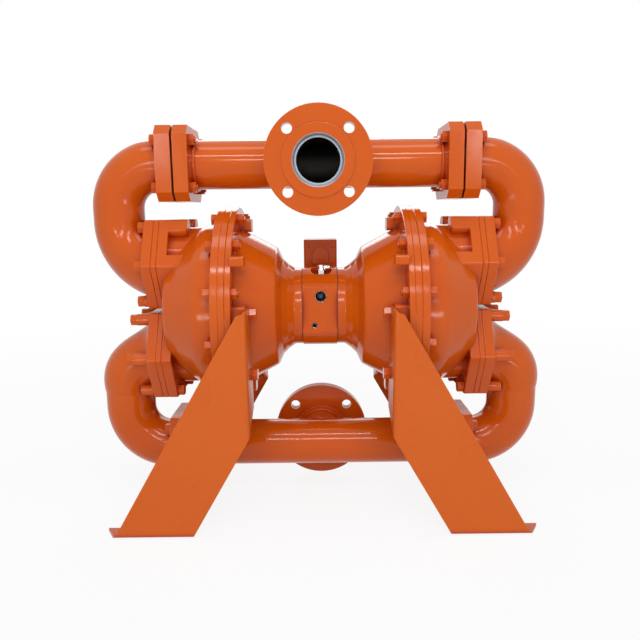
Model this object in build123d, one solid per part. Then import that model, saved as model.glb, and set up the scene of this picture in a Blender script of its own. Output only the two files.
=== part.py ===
from build123d import *
from math import atan2, cos, hypot, pi, radians, sin, sqrt
import os

# Air operated double diaphragm pump with flap check valves, in millimetres.
# X runs along the pump, Y points to its rear, Z points up.
# The origin lies on the floor, midway between the four feet.

os.makedirs("parts", exist_ok=True)

# Overall places
axis_z = 377.0                  # height of the diaphragm rod's axis
discharge_z = 644.0             # height of the upper manifold's axis
suction_z = 102.0               # height of the lower manifold's axis
port_offset = 86.0              # valve port centres above and below the rod axis
fit_gap = 0.3                   # clearance between curved faces of fixed pieces
running_gap = 0.05              # radial clearance of a running fit

# Centre block
block_half = 32.0
block_radius = 75.0
block_front = 62.0              # flat on the front of the round block
block_rear = 72.0               # flat on its rear, behind the necks' front
rod_passage_radius = 19.0
air_inlet_radius = 10.5
air_inlet_x = 1.5
air_inlet_z = 25.0
air_inlet_depth = 24.0
pilot_port_radius = 5.0
pilot_port_x = -10.0
pilot_port_z = -29.0
pilot_port_depth = 18.0
port_chamfer = 1.2              # countersink at the mouth of a tapped port
block_gasket = 1.0
air_passage_radius = 6.0
air_passage_depth = 20.0

# Breather fitting on top of the block
breather_x = 3.0
breather_y = -24.0
breather_seat_z = 64.0
breather_seat_radius = 20.0
breather_hex = 17.0
breather_hex_height = 8.0
breather_stem_radius = 6.5
breather_stem_height = 9.0
breather_thread_radius = 5.0
breather_thread_depth = 12.0
breather_nose_length = 16.0

# Inner chamber, the air side casting
neck_radius = 73.0
neck_wall = 17.0
neck_core_end = 76.0
hub_radius = 27.0
floor_x = 92.0                  # air side floor that faces the diaphragm
flange_back_x = 148.5
flange_face_x = 159.5
chamber_flange_radius = 189.0
neck_profile = ((47.0, neck_radius), (60.0, 82.0), (70.0, 92.0), (79.0, 112.0))
cone_start = (86.0, 116.0)      # x and radius where the air side cone begins
cone_end_radius = 149.0
inner_chamber_fillets = (1, 8, 8, 6, 8, 10, 3, 1.5, 1.5)
dish_floor_inset = 22.0         # how far the hollow stays inside the cone at its floor
dish_side_inset = 9.0
dish_rim_inset = 12.0
dish_ramp = 8.0
dish_rim_length = 4.0
end_lug_z = 155.0               # lifting lug above the axis, and its mate below
end_lug_half_width = 15.0
end_lug_half_height = 12.0
lug_edge_radius = 5.0
rod_clearance = 1.0

# Diaphragm
bead_thickness = 10.5
web_thickness = 6.0
bead_inner_radius = 151.0
wave_inner_radius = 103.0
wave_height = 13.0
bead_slope = 4.0                # radial width of the slope between wave and bead
bead_inset = 0.5                # the rubber's edge stays inside the flanges

# Outer chamber, the liquid side casting
outer_flange_thickness = 14.0
drum_radius = 155.0
drum_shoulder_x = 216.0
drum_end_x = 283.0
drum_end_radius = 106.0
drum_wall = 9.0
port_face_x = 292.0
port_plate_thickness = 18.0
port_across_flats = 164.0
port_corner_radius = 5.0
port_edge = 1.0                 # chamfer along the rims of the port plates
port_bore_radius = 50.0
discharge_neck_radius = 68.0
suction_neck_radius = 60.0
neck_start_x = 205.0
ear_radius = 20.0                # reach of a corner rib round its bolt
ear_end_x = 240.0
ear_end_radius = 6.0
drum_taper = 3.0
outer_chamber_fillets = (1.5, 1.5, 5, 40, 14)
cavity_taper = 4.0
port_bore_start_x = 225.0

# Flap valves
seat_thickness = 10.0
seat_bore_radius = 29.0
flap_radius = 35.0
flap_thickness = 6.0
flap_rib = 4.0
flap_pin_radius = 3.0
flap_pin_height = 40.5          # pin above the port's centre
flap_pin_standoff = 6.5         # pin axis in front of the seat's face
knuckle_radius = 5.0
knuckle_half = 9.0
ear_gap = 0.4
hinge_ear_thickness = 6.0
hinge_ear_radius = 5.5
flap_boss_share = 0.55          # raised middle as a share of the flap's radius
flap_arm_lift = 2.0

# Elbows
tube_radius = 47.0
tube_wall = 8.0
elbow_x = 378.0
bend_radius = 78.0
elbow_flange_thickness = 18.0
horn_inner_radius = 11.0
horn_end_radius = 66.0
hood_end_radius = 73.0
hood_corner_z = 274.0           # where the hood's straight slope starts
hood_wall = 13.0
lug_length = 24.0
foot_lug_length = 8.0           # the two lowest lugs of the upper elbow
lug_radius = 11.0
horn_shares = (0.0, 0.25, 0.5, 0.75, 1.0)
hood_turns = (0.0, 22.0, 40.0, 62.0, 90.0)
hood_foot_drop = 2.0
overlap = 1.0                   # how far joined solids run into each other

# Manifolds
pipe_radius = 44.45
pipe_bore_radius = 38.96
branch_step = 0.3               # the branch is this much slimmer than the header
plate_half = 67.0
plate_chamfer = 16.0
elbow_plate_x = 290.0
elbow_plate_thickness = 28.0
manifold_gasket = 4.0
manifold_gasket_width = 7.0
pipe_plate_thickness = 26.0
pipe_engagement = 20.0          # how far the pipe enters its end plate
hub_length = 6.0
hub_step = 3.0
plate_bolt_half = 42.0
branch_reach = 95.0             # pipe axis to the round flange's raised face
round_flange_radius = 95.25
round_flange_thickness = 24.0
raised_face_radius = 63.5
raised_face_height = 1.6
round_flange_bore_radius = 43.0   # lip that the branch pipe's end meets
round_flange_bore_chamfer = 2.3
round_hub_radius = 54.0
round_hub_length = 8.0
branch_recess = 8.0             # pipe end behind the raised face
flange_pcd = 152.4
flange_hole_radius = 9.5
flange_hole_count = 4

# Rod and plates
rod_radius = 16.0
rod_half_length = 186.0
rod_chamfer = 2.0
clamp_radius = 95.0
inner_plate_back_x = 122.0
inner_plate_hub = 50.0
outer_plate_thickness = 9.0
outer_plate_crown = 22.0
outer_plate_nose = 34.0
outer_plate_rim = 5.0
outer_plate_rim_inset = 8.0
outer_plate_nose_chamfer = (4.0, 6.0)
inner_plate_shape = ((8.0, 5.0), (12.0, 3.0), (4.0, 0.0))
bushing_radius = 22.0
bushing_start_x = 48.0
bushing_end_x = 85.0
seal_thickness = 5.0
seal_gap = 1.0

# Pilot valve
pilot_y = 24.0
pilot_z = 38.0
pilot_sleeve_radius = 9.0
pilot_spool_radius = 5.5
pilot_pin_radius = 4.0
pilot_pin_tip_x = 98.5
pilot_land = 10.0

# Air distribution valve on the rear of the block
valve_x = 2.0                   # the valve sits a little off the block's middle
valve_half = 33.5
valve_gasket = 1.5
valve_depth = 66.0
valve_bottom_z = -60.0
valve_top_z = 112.0
valve_cap = 12.0
valve_corner = 4.0
valve_sleeve_radius = 19.0
valve_spool_radius = 13.5
valve_spool_length = 150.0
valve_spool_gap = 2.0
valve_spool_core = 8.5
valve_spool_lands = 4
valve_spool_land = 18.0
valve_gasket_half_height = 36.0
valve_gasket_half_width = 29.0
arch_radius = 15.5
arch_z = 93.0
arch_foot_z = 75.5               # clear of the round block's top
arch_depth = 5.0
exhaust_radius = 13.0
exhaust_z = 18.0
exhaust_depth = 13.5             # stops short of the sleeve
exhaust_passage_radius = 9.0

# Fasteners
bolt_radius = 6.0
bolt_hole_radius = 6.6
bolt_head_flats = 19.0
bolt_head_height = 12.0
nut_height = 10.0
chamber_bolt_circle = 173.0
chamber_bolt_count = 12
chamber_bolt_start = 15.0
port_bolt_circle = 79.0
port_bolt_grip = 15.0
low_bolt_grip = 30.0
block_screw_circle = 64.5
block_screw_depth = 20.0
screw_head_radius = 9.0
screw_head_height = 12.0
valve_screw_radius = 4.0
valve_screw_x = 24.0
valve_screw_z = 16.0
cap_screw_radius = 3.0
cap_screw_x = 24.0
cap_screw_y = 21.0
cap_screw_depth = 12.0
small_head_step = 2.0           # small screw heads stand out this far past the shank
valve_screw_head = 8.0
cap_screw_head = 5.0
hole_spare = 2.0                # blind holes run this much deeper than their screws
cap_edge_radius = 2.0
bolt_end_spare = 3.0            # bolts stand out this far past their nuts

# Legs, bent from plate
leg_front_y = 206.0
leg_thickness = 6.0
leg_inner_x = 121.0
leg_top_z = 395.0
leg_shoulder_z = 389.0
leg_shoulder_width = 17.0
leg_knee_z = 181.0
leg_slope = 0.577
leg_web_top_depth = 64.0         # clear of the chamber's cone
leg_web_depth = 82.0
leg_web_foot_z = 212.0
foot_depth = 32.0
leg_bend_radius = 9.0
mount_lug_y = 152.0
mount_lug_width = 34.0
mount_lug_height = 30.0
mount_lug_z = (8.0, -98.0)
spare_lug_z = 98.0              # unused cast lug above the leg's two
spare_lug_height = 18.0
mount_bolt_depth = 26.0


# Basic shapes
def valve_screw_places():
    return [(valve_x + x, z) for x in (-valve_screw_x, valve_screw_x)
            for z in (-valve_screw_z, valve_screw_z)]


def rod_x(radius, x0, x1, y=0.0, z=0.0):
    return Pos((x0 + x1) / 2, y, z) * Rot(0, 90, 0) * Cylinder(radius, abs(x1 - x0))


def rod_y(radius, y0, y1, x=0.0, z=0.0):
    return Pos(x, (y0 + y1) / 2, z) * Rot(90, 0, 0) * Cylinder(radius, abs(y1 - y0))


def rod_z(radius, z0, z1, x=0.0, y=0.0):
    return Pos(x, y, (z0 + z1) / 2) * Cylinder(radius, abs(z1 - z0))


def block(x0, x1, y0, y1, z0, z1):
    return Pos((x0 + x1) / 2, (y0 + y1) / 2, (z0 + z1) / 2) * Box(x1 - x0, y1 - y0, z1 - z0)


def turned(*points, z=0.0):
    """Revolve an outline of (x, radius) points about the line parallel to X at height z."""
    outline = make_face(Plane.XZ * Polyline(*points, close=True))
    return Pos(0, 0, z) * revolve(outline, Axis.X, 360)


def turned_face(face, z=0.0):
    return Pos(0, 0, z) * revolve(Plane.XZ * face, Axis.X, 360)


def port_slab(x0, x1, z):
    """Six-sided port plate with chamfered rims."""
    slab = hexagon_x(port_across_flats, x0, x1, 0, z, port_corner_radius)
    ends = slab.faces().filter_by(Axis.X)
    return chamfer(ends.edges(), port_edge)


def ring_points(radius, count, start):
    """Points (y, z) evenly spaced on a circle."""
    step = 360.0 / count
    return [(radius * cos(radians(start + k * step)), radius * sin(radians(start + k * step)))
            for k in range(count)]


def other_side(shape):
    return mirror(shape, about=Plane.YZ)


def hexagon_x(flats, x0, x1, y=0.0, z=0.0, corner=0.0):
    """Hexagonal bar along X with its flats up and down."""
    face = RegularPolygon(flats / sqrt(3), 6)
    if corner:
        face = fillet(face.vertices(), corner)
    return extrude(Plane((x0, y, z), x_dir=(0, 1, 0), z_dir=(1, 0, 0)) * face, x1 - x0)


# Fasteners along X: the head's underside is at x, the shank runs to x_end
def bolt_x(x, x_end, y, z, radius=bolt_radius, flats=bolt_head_flats, height=bolt_head_height):
    away = 1 if x > x_end else -1
    head = hexagon_x(flats, min(x, x + away * height), max(x, x + away * height), y, z)
    return head + rod_x(radius, x_end, x, y, z)


def nut_x(x, away, y, z):
    x0, x1 = sorted((x, x + away * nut_height))
    return hexagon_x(bolt_head_flats, x0, x1, y, z) - rod_x(bolt_radius, x0, x1, y, z)


# Centre block
def make_centre_block():
    body = rod_x(block_radius, -block_half, block_half, 0, axis_z)
    body &= block(-block_half, block_half, -block_front, block_rear,
                  axis_z - block_radius, axis_z + block_radius)
    body -= rod_x(rod_passage_radius, -block_half, block_half, 0, axis_z)
    body -= rod_x(pilot_sleeve_radius, -block_half, block_half, pilot_y, axis_z + pilot_z)
    for x, z, radius, depth in ((air_inlet_x, air_inlet_z, air_inlet_radius, air_inlet_depth),
                                (pilot_port_x, pilot_port_z, pilot_port_radius, pilot_port_depth)):
        body -= rod_y(radius, -block_front, depth - block_front, x, axis_z + z)
        mouth = Cone(radius, radius + port_chamfer, port_chamfer)
        body -= Pos(x, port_chamfer / 2 - block_front, axis_z + z) * Rot(90, 0, 0) * mouth
    for z in (-air_inlet_z, 0, air_inlet_z):
        body -= rod_y(air_passage_radius, block_rear - air_passage_depth, block_rear, valve_x, axis_z + z)
    body -= rod_z(breather_seat_radius, axis_z + breather_seat_z, axis_z + block_radius,
                  breather_x, breather_y)
    body -= rod_z(breather_thread_radius, axis_z + breather_seat_z - breather_thread_depth,
                  axis_z + breather_seat_z, breather_x, breather_y)
    for y, z in ring_points(block_screw_circle, 4, 45):
        for side in (-1, 1):
            body -= rod_x(bolt_radius, side * (block_half - block_screw_depth), side * block_half,
                          y, axis_z + z)
    for x, z in valve_screw_places():
        body -= rod_y(valve_screw_radius, block_rear - air_passage_depth, block_rear, x, axis_z + z)
    return body


def make_breather():
    z = axis_z + breather_seat_z
    base = Pos(breather_x, breather_y, z) * extrude(RegularPolygon(breather_hex / sqrt(3), 6),
                                                     breather_hex_height)
    stem_top = z + breather_hex_height + breather_stem_height
    stem = rod_z(breather_stem_radius, z, stem_top, breather_x, breather_y)
    thread = rod_z(breather_thread_radius - fit_gap, z - breather_thread_depth + 1, z,
                   breather_x, breather_y)
    nose_z = stem_top - breather_stem_radius + 1
    nose = Pos(breather_x + breather_nose_length / 2, breather_y, nose_z) * Rot(0, 90, 0) * Cone(
        breather_stem_radius - 1.5, breather_stem_radius / 2, breather_nose_length)
    return base + stem + thread + nose


# Inner chamber
def make_inner_chamber():
    outline = FilletPolyline(
        (block_half + block_gasket, 0), (block_half + block_gasket, neck_radius),
        *neck_profile, cone_start,
        (flange_back_x, cone_end_radius), (flange_back_x, chamber_flange_radius),
        (flange_face_x, chamber_flange_radius), (flange_face_x, 0),
        radius=inner_chamber_fillets, close=False)
    outer = turned_face(make_face(outline + Line((flange_face_x, 0), (block_half + block_gasket, 0))),
                        axis_z)
    slope = (cone_end_radius - cone_start[1]) / (flange_back_x - cone_start[0])
    dish = turned((floor_x, 0), (floor_x, cone_start[1] - dish_floor_inset),
                  (floor_x + dish_ramp, cone_start[1] - dish_side_inset),
                  (flange_back_x - dish_rim_length,
                   cone_start[1] - dish_rim_inset + slope * (flange_back_x - cone_start[0])),
                  (flange_face_x, bead_inner_radius), (flange_face_x, 0), z=axis_z)
    core = rod_x(neck_radius - neck_wall, block_half + block_gasket, neck_core_end, 0, axis_z)
    core -= rod_x(hub_radius, block_half + block_gasket, neck_core_end, 0, axis_z)
    body = outer - dish - core
    # Mounting lugs for the legs, a lifting lug on top and its mate below
    for y in (-mount_lug_y, mount_lug_y):
        for z in mount_lug_z:
            lug = block(leg_inner_x + leg_thickness, flange_back_x + overlap, y - mount_lug_width / 2,
                        y + mount_lug_width / 2, axis_z + z - mount_lug_height / 2,
                        axis_z + z + mount_lug_height / 2)
            body += fillet(lug.edges().filter_by(Axis.X), lug_edge_radius)
        lug = block(leg_inner_x + leg_thickness, flange_back_x + overlap, y - mount_lug_width / 2,
                    y + mount_lug_width / 2, axis_z + spare_lug_z - spare_lug_height / 2,
                    axis_z + spare_lug_z + spare_lug_height / 2)
        body += fillet(lug.edges().filter_by(Axis.X), lug_edge_radius)
    for z in (-end_lug_z, end_lug_z):
        lug = block(leg_inner_x + leg_thickness, flange_back_x + overlap,
                    -end_lug_half_width, end_lug_half_width,
                    axis_z + z - end_lug_half_height, axis_z + z + end_lug_half_height)
        body += fillet(lug.edges().filter_by(Axis.X), lug_edge_radius)
    # Bores: rod, bushing and seal seat, pilot pin, block screws, flange bolts, leg bolts
    body -= rod_x(rod_radius + rod_clearance, block_half, floor_x, 0, axis_z)
    body -= rod_x(bushing_radius, bushing_start_x, floor_x, 0, axis_z)
    body -= rod_x(pilot_pin_radius + rod_clearance, block_half, floor_x, pilot_y, axis_z + pilot_z)
    for y, z in ring_points(block_screw_circle, 4, 45):
        body -= rod_x(bolt_hole_radius, block_half, floor_x, y, axis_z + z)
        body -= rod_x(screw_head_radius + fit_gap, floor_x - screw_head_height, floor_x, y, axis_z + z)
    for y, z in ring_points(chamber_bolt_circle, chamber_bolt_count, chamber_bolt_start):
        body -= rod_x(bolt_hole_radius, flange_back_x, flange_face_x, y, axis_z + z)
    for y in (-mount_lug_y, mount_lug_y):
        for z in mount_lug_z:
            body -= rod_x(bolt_radius, leg_inner_x + leg_thickness,
                          leg_inner_x + leg_thickness + mount_bolt_depth, y, axis_z + z)
    return body


# Diaphragm: a clamped bead, one rolled wave and a flat middle between the plates
web_x = flange_face_x + (bead_thickness - web_thickness) / 2


def make_diaphragm():
    bead_x = flange_face_x + bead_thickness
    bead_edge = chamber_flange_radius - bead_inset
    wave_end = bead_inner_radius - bead_slope
    wave_mid = (wave_inner_radius + wave_end) / 2
    shape = (Polyline((web_x, rod_radius + fit_gap), (web_x, wave_inner_radius))
             + ThreePointArc((web_x, wave_inner_radius), (web_x + wave_height, wave_mid),
                             (web_x, wave_end))
             + Polyline((web_x, wave_end), (flange_face_x, bead_inner_radius),
                        (flange_face_x, bead_edge), (bead_x, bead_edge), (bead_x, bead_inner_radius),
                        (web_x + web_thickness, wave_end))
             + ThreePointArc((web_x + web_thickness, wave_end),
                             (web_x + web_thickness + wave_height, wave_mid),
                             (web_x + web_thickness, wave_inner_radius))
             + Polyline((web_x + web_thickness, wave_inner_radius),
                        (web_x + web_thickness, rod_radius + fit_gap),
                        (web_x, rod_radius + fit_gap)))
    body = turned_face(make_face(shape), axis_z)
    for y, z in ring_points(chamber_bolt_circle, chamber_bolt_count, chamber_bolt_start):
        body -= rod_x(bolt_hole_radius, flange_face_x, bead_x, y, axis_z + z)
    return body


# Outer chamber
outer_flange_x = flange_face_x + bead_thickness
drum_start_x = outer_flange_x + outer_flange_thickness


def port_corners():
    return ring_points(port_bolt_circle, 6, 0)


def bolted_from_chamber(sign, dz):
    """The lowest pair of the suction port has its heads on the chamber's side."""
    return sign < 0 and dz < -lug_radius


def make_outer_chamber():
    outline = FilletPolyline(
        (outer_flange_x, 0), (outer_flange_x, chamber_flange_radius),
        (drum_start_x, chamber_flange_radius), (drum_start_x, drum_radius + drum_taper),
        (drum_shoulder_x, drum_radius), (drum_end_x, drum_end_radius), (drum_end_x, 0),
        radius=outer_chamber_fillets, close=False)
    body = turned_face(make_face(outline + Line((drum_end_x, 0), (outer_flange_x, 0))), axis_z)
    plate_back_x = port_face_x - port_plate_thickness
    for sign, neck in ((1, discharge_neck_radius), (-1, suction_neck_radius)):
        z = axis_z + sign * port_offset
        body += rod_x(neck, neck_start_x, plate_back_x + overlap, 0, z)
        body += port_slab(plate_back_x, port_face_x, z)
    # Corner ribs of the discharge port run back over the chamber
    ribs = hexagon_x(port_across_flats, ear_end_x, plate_back_x + overlap, 0,
                     axis_z + port_offset, port_corner_radius)
    for y, z in port_corners():
        if z > -overlap:
            reach = rod_x(ear_radius, ear_end_x, plate_back_x + overlap, y,
                          axis_z + port_offset + z)
            reach = fillet(reach.edges().sort_by(Axis.X)[0], ear_end_radius)
            body += ribs & reach
    cavity = turned((outer_flange_x, 0), (outer_flange_x, bead_inner_radius - bead_slope),
                    (drum_shoulder_x - cavity_taper, drum_radius - drum_wall),
                    (drum_end_x - drum_wall, drum_end_radius - drum_wall + cavity_taper),
                    (drum_end_x - drum_wall, 0), z=axis_z)
    body -= cavity
    for sign in (-1, 1):
        z = axis_z + sign * port_offset
        body -= rod_x(port_bore_radius, port_bore_start_x, port_face_x, 0, z)
        for y, dz in port_corners():
            if bolted_from_chamber(sign, dz):
                body -= rod_x(bolt_hole_radius, plate_back_x, port_face_x, y, z + dz)
            else:
                body -= rod_x(bolt_radius, port_face_x - port_bolt_grip, port_face_x, y, z + dz)
    for y, z in ring_points(chamber_bolt_circle, chamber_bolt_count, chamber_bolt_start):
        body -= rod_x(bolt_hole_radius, outer_flange_x, drum_start_x, y, axis_z + z)
    return body


# Flap valves: into is -1 where the flap opens towards the chamber, 1 towards the elbow
seat_outer_x = port_face_x + seat_thickness


def seat_face(into):
    return seat_outer_x if into > 0 else port_face_x


def make_seat(into, port_z):
    plate = port_slab(port_face_x, seat_outer_x, port_z)
    plate -= rod_x(seat_bore_radius, port_face_x, seat_outer_x, 0, port_z)
    for y, z in port_corners():
        plate -= rod_x(bolt_hole_radius, port_face_x, seat_outer_x, y, port_z + z)
    face = seat_face(into)
    pin_x = face + into * flap_pin_standoff
    pin_z = port_z + flap_pin_height
    for side in (-1, 1):
        y0 = side * (knuckle_half + ear_gap)
        y1 = side * (knuckle_half + ear_gap + hinge_ear_thickness)
        ear = rod_y(hinge_ear_radius, min(y0, y1), max(y0, y1), pin_x, pin_z)
        ear += block(min(face, pin_x), max(face, pin_x), min(y0, y1), max(y0, y1),
                     pin_z - hinge_ear_radius, pin_z + hinge_ear_radius)
        plate += ear
    return plate - make_flap_pin(into, port_z)


def make_flap(into, port_z):
    face = seat_face(into)
    pin_x = face + into * flap_pin_standoff
    pin_z = port_z + flap_pin_height
    x0, x1 = sorted((face, face + into * flap_thickness))
    disc = rod_x(flap_radius, x0, x1, 0, port_z)
    r0, r1 = sorted((face + into * flap_thickness, face + into * (flap_thickness + flap_rib)))
    disc += rod_x(flap_radius * flap_boss_share, r0, r1, 0, port_z)
    arm_x0, arm_x1 = sorted((face + into * flap_arm_lift, face + into * (flap_thickness + flap_rib)))
    disc += block(arm_x0, arm_x1, -knuckle_half, knuckle_half, port_z, pin_z)
    disc += rod_y(knuckle_radius, -knuckle_half, knuckle_half, pin_x, pin_z)
    return disc - rod_y(flap_pin_radius + running_gap, -knuckle_half, knuckle_half, pin_x, pin_z)


def make_flap_pin(into, port_z):
    reach = knuckle_half + ear_gap + hinge_ear_thickness
    return rod_y(flap_pin_radius, -reach, reach, seat_face(into) + into * flap_pin_standoff,
                 port_z + flap_pin_height)


# Elbows
def square_plate(x0, x1, z):
    face = chamfer(Rectangle(2 * plate_half, 2 * plate_half).vertices(), plate_chamfer)
    return extrude(Plane((x0, 0, z), x_dir=(0, 1, 0), z_dir=(1, 0, 0)) * face, x1 - x0)


def plate_holes(x0, x1, z):
    return [rod_x(bolt_hole_radius, x0, x1, y, z + dz) for y in (-plate_bolt_half, plate_bolt_half)
            for dz in (-plate_bolt_half, plate_bolt_half)]


def tube_sweep(radius, x0, z, turn_z):
    """Round bar from a manifold plate, round the bend and on to the height turn_z."""
    down = 1 if turn_z < z else -1
    bend_end = z - down * bend_radius
    path = (Line((x0, 0, z), (elbow_x - bend_radius, 0, z))
            + ThreePointArc((elbow_x - bend_radius, 0, z),
                            (elbow_x - bend_radius * (1 - sin(pi / 4)), 0,
                             z - down * bend_radius * (1 - cos(pi / 4))),
                            (elbow_x, 0, bend_end))
            + Line((elbow_x, 0, bend_end), (elbow_x, 0, turn_z)))
    return sweep(Plane((x0, 0, z), x_dir=(0, 1, 0), z_dir=(1, 0, 0)) * Circle(radius), path)


def horn(pairs, wall_start, wall_end):
    """Loft through circles, each standing on a pair of (x, z) points on opposite walls.

    The circles are drawn inside those points by a wall that grows from start to end.
    """
    sections = []
    last = len(pairs) - 1
    for index, ((xi, zi), (xo, zo)) in enumerate(pairs):
        wall = wall_start + (wall_end - wall_start) * index / last
        radius = hypot(xo - xi, zo - zi) / 2 - wall
        along = Vector(xo - xi, 0, zo - zi).normalized()
        plane = Plane(((xi + xo) / 2, 0, (zi + zo) / 2), x_dir=(0, 1, 0),
                      z_dir=along.cross(Vector(0, 1, 0)))
        sections.append(plane * Circle(radius))
    return loft(sections)


def discharge_horn_pairs():
    """Wall points of the upper elbow, from its straight tube down into the port."""
    flange_x = seat_outer_x + elbow_flange_thickness
    port_z = axis_z + port_offset
    outer_x = elbow_x + tube_radius
    start_z = port_z + horn_end_radius + horn_inner_radius
    span_x = outer_x - flange_x
    span_z = start_z - (port_z - horn_end_radius)
    sweep_radius = (span_x ** 2 + span_z ** 2) / (2 * span_x)
    pairs = []
    for share in horn_shares:
        turn = radians(90 * share)
        inner = (flange_x + horn_inner_radius * cos(turn), start_z - horn_inner_radius * sin(turn))
        lean = share * atan2(span_z, sweep_radius - span_x)
        outer = (outer_x - sweep_radius * (1 - cos(lean)), start_z - sweep_radius * sin(lean))
        pairs.append((inner, outer))
    return pairs


def suction_horn_pairs():
    """Wall points of the lower elbow's hood, whose outer wall slopes straight to the port."""
    flange_x = seat_outer_x + elbow_flange_thickness
    port_z = axis_z - port_offset
    outer_x = elbow_x + tube_radius
    foot_z = port_z - horn_end_radius - hood_foot_drop
    centre_z = foot_z - horn_inner_radius
    top_z = foot_z + 2 * hood_end_radius
    slope = (top_z - hood_corner_z) / (outer_x - flange_x)
    pairs = []
    for degrees in hood_turns:
        turn = radians(degrees)
        inner = (flange_x + horn_inner_radius * cos(turn), centre_z + horn_inner_radius * sin(turn))
        reach = (top_z - centre_z) / (sin(turn) + slope * cos(turn))
        if reach * cos(turn) > outer_x - flange_x:
            reach = (outer_x - flange_x) / cos(turn)
        pairs.append((inner, (flange_x + reach * cos(turn), centre_z + reach * sin(turn))))
    return pairs


def lug_reach(sign, dz):
    """Length of an elbow's bolt lug at height dz from its port's centre; sign is 1 for the upper elbow."""
    if sign < 0:
        return lug_length
    return foot_lug_length if dz < -lug_radius else 0


def make_elbow(pairs, end_wall, manifold_z, sign):
    """Upper elbow for sign 1, lower elbow for sign -1."""
    port_z = axis_z + sign * port_offset
    flange_x = seat_outer_x + elbow_flange_thickness
    plate_x = elbow_plate_x - elbow_plate_thickness
    turn_z = pairs[0][0][1]
    body = tube_sweep(tube_radius, elbow_plate_x - overlap, manifold_z, turn_z)
    body += horn(pairs, 0, 0)
    body += square_plate(plate_x, elbow_plate_x, manifold_z)
    body += port_slab(seat_outer_x, flange_x, port_z)
    for y, dz in port_corners():
        if lug_reach(sign, dz):
            body += rod_x(lug_radius, flange_x - overlap, flange_x + lug_reach(sign, dz), y, port_z + dz)
    body -= tube_sweep(tube_radius - tube_wall, plate_x, manifold_z, turn_z)
    body -= horn(pairs, tube_wall, end_wall)
    body -= rod_x(port_bore_radius, seat_outer_x, flange_x + overlap, 0, port_z)
    for y, dz in port_corners():
        lug_end = flange_x + lug_reach(sign, dz)
        if bolted_from_chamber(sign, dz):
            body -= rod_x(bolt_radius, seat_outer_x, seat_outer_x + low_bolt_grip, y, port_z + dz)
        else:
            body -= rod_x(bolt_hole_radius, seat_outer_x, lug_end, y, port_z + dz)
            body -= rod_x(bolt_head_flats / sqrt(3) + fit_gap, lug_end,
                          lug_end + bolt_head_height, y, port_z + dz)
    for hole in plate_holes(plate_x, elbow_plate_x, manifold_z):
        body -= hole
    return body


# Manifolds
joint_x = elbow_plate_x - elbow_plate_thickness - manifold_gasket
pipe_plate_x = joint_x - pipe_plate_thickness


def make_pipe(z, towards):
    """Header pipe with its branch; towards is -1 for a branch to the front, 1 to the rear."""
    half = joint_x - pipe_plate_thickness + pipe_engagement
    branch_end = towards * (branch_reach - branch_recess)
    y0, y1 = sorted((0, branch_end))
    body = rod_x(pipe_radius, -half, half, 0, z)
    body += rod_y(pipe_radius - branch_step, y0, y1, 0, z)
    body -= rod_x(pipe_bore_radius, -half, half, 0, z)
    body -= rod_y(pipe_bore_radius - branch_step, y0, y1, 0, z)
    return body


def make_end_plate(z):
    plate = square_plate(pipe_plate_x, joint_x, z)
    plate += rod_x(pipe_radius + hub_step, pipe_plate_x - hub_length, pipe_plate_x + overlap, 0, z)
    plate -= rod_x(pipe_bore_radius, pipe_plate_x, joint_x, 0, z)
    plate -= rod_x(pipe_radius + fit_gap, pipe_plate_x - hub_length,
                   pipe_plate_x + pipe_engagement + fit_gap, 0, z)
    for hole in plate_holes(pipe_plate_x, joint_x, z):
        plate -= hole
    return plate


def make_round_flange(z, towards):
    face = towards * branch_reach
    shoulder = towards * (branch_reach - raised_face_height)
    back = towards * (branch_reach - round_flange_thickness)
    hub_end = towards * (branch_reach - round_flange_thickness - round_hub_length)
    body = rod_y(round_flange_radius, min(back, shoulder), max(back, shoulder), 0, z)
    body += rod_y(raised_face_radius, min(shoulder, face), max(shoulder, face), 0, z)
    body += rod_y(round_hub_radius, min(hub_end, back), max(hub_end, back), 0, z)
    body -= rod_y(round_flange_bore_radius, min(hub_end, face), max(hub_end, face), 0, z)
    seat = towards * (branch_reach - branch_recess)
    body -= rod_y(pipe_radius - branch_step + fit_gap, min(hub_end, seat), max(hub_end, seat), 0, z)
    mouth = Cone(round_flange_bore_radius, round_flange_bore_radius + round_flange_bore_chamfer,
                 round_flange_bore_chamfer)
    mouth_y = towards * (branch_reach - round_flange_bore_chamfer / 2)
    body -= Pos(0, mouth_y, z) * Rot(-90 * towards, 0, 0) * mouth
    for k in range(flange_hole_count):
        turn = radians(45 + 90 * k)
        body -= rod_y(flange_hole_radius, min(back, face), max(back, face),
                      flange_pcd / 2 * cos(turn), z + flange_pcd / 2 * sin(turn))
    return body


# Rod, plates, bushings and seals
def make_rod():
    body = rod_x(rod_radius - running_gap, -rod_half_length, rod_half_length, 0, axis_z)
    return chamfer(body.edges().filter_by(GeomType.CIRCLE), rod_chamfer)


def make_inner_plate():
    (hub_x, hub_step_out), (rim_x, rim_inset), (edge_x, _) = inner_plate_shape
    return turned((inner_plate_back_x, rod_radius), (inner_plate_back_x, inner_plate_hub),
                  (inner_plate_back_x + hub_x, inner_plate_hub + hub_step_out),
                  (web_x - rim_x, clamp_radius - rim_inset),
                  (web_x - edge_x, clamp_radius), (web_x, clamp_radius), (web_x, rod_radius), z=axis_z)


def make_outer_plate():
    back = web_x + web_thickness
    crown = back + outer_plate_thickness + outer_plate_crown
    nose_x, nose_r = outer_plate_nose_chamfer
    return turned((back, rod_radius), (back, clamp_radius), (back + outer_plate_rim, clamp_radius),
                  (back + outer_plate_thickness, clamp_radius - outer_plate_rim_inset),
                  (crown - nose_x, outer_plate_nose), (crown, outer_plate_nose - nose_r), (crown, 0),
                  (rod_half_length, 0), (rod_half_length, rod_radius), z=axis_z)


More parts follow.
